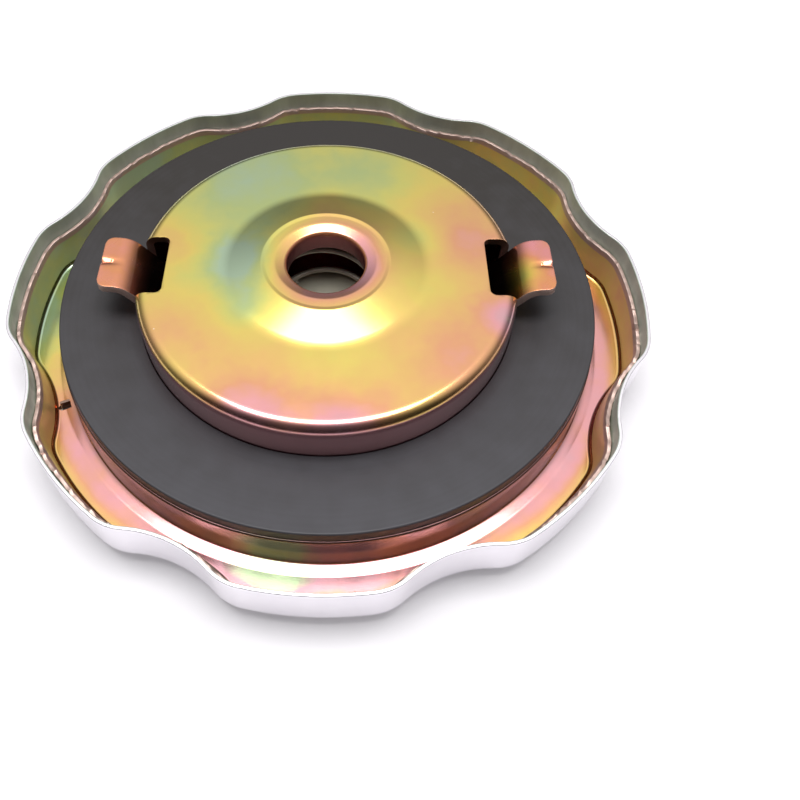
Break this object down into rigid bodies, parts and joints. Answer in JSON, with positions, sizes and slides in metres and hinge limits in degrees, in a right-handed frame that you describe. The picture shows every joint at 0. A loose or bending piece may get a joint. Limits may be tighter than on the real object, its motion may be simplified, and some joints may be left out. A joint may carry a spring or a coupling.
{
  "type": "fuel filler cap",
  "caption": "Round bayonet fuel filler cap in pressed steel: lobed grip skirt, rubber seal, raised cup and a spring-loaded locking strip with hooked arms.",
  "frame": {"origin": "centre of the outer face, which lies on z = 0", "axes": "+Z points from the outer face towards the filler neck side; +X runs along the two arms of the locking strip"},
  "size_m": [0.0764, 0.0764, 0.013],
  "materials": {
    "outer_shell": "bright nickel-chrome plating on pressed steel",
    "inner_plate": "yellow chromate over zinc on pressed steel",
    "gasket": "smooth black rubber",
    "retaining_cup": "yellow chromate over zinc on pressed steel",
    "locking_strip": "yellow chromate over zinc on pressed steel, bright sheared edges",
    "coil_spring": "plain drawn spring wire"
  },
  "bodies": {
    "cap": {"outer_shell": "outer_shell", "inner_plate": "inner_plate", "gasket": "gasket", "retaining_cup": "retaining_cup", "coil_spring": "coil_spring"},
    "lock": {"locking_strip": "locking_strip"}
  },
  "joints": [
    {"name": "lock_lift", "type": "slide", "parent": "cap", "child": "lock", "axis": [0, 0, 1], "range_m": [0, 0.0022], "stiffness_N_per_m": 800, "springref_m": -0.0035, "deforming": ["coil_spring"]}
  ]
}
